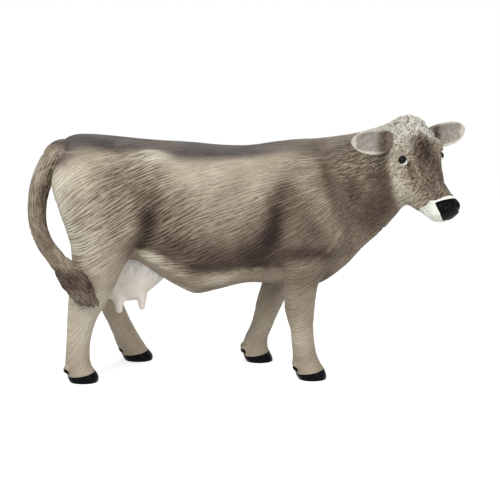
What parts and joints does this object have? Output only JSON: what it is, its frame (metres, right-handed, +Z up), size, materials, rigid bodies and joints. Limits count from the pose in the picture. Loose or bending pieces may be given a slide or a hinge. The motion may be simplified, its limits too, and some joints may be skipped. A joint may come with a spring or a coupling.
{
  "type": "toy cow figure",
  "caption": "Standing toy cow of painted moulded vinyl with a turned head, spread ears, an udder and a tail laid on its hind leg; a static play figure.",
  "frame": {"origin": "on the ground under the middle of the figure's box", "axes": "+X forwards along the body, +Y to the animal's left, +Z up"},
  "size_m": [0.1378, 0.043, 0.0825],
  "materials": {
    "coat": "matt airbrushed paint in cream, beige and dark grey-brown over grooved vinyl",
    "ear": "matt grey inside a cream rim",
    "tail": "matt brown paint, darker in the grooves and on the switch",
    "udder": "satin pale pink-grey",
    "leg": "matt pale beige with black hooves and dewclaws"
  },
  "bodies": {
    "root": {"torso": "coat", "head": "coat", "right_ear": "ear", "left_ear": "ear", "tail": "tail", "udder": "udder", "right_foreleg": "leg", "left_foreleg": "leg", "right_hind_leg": "leg", "left_hind_leg": "leg"}
  },
  "joints": []
}
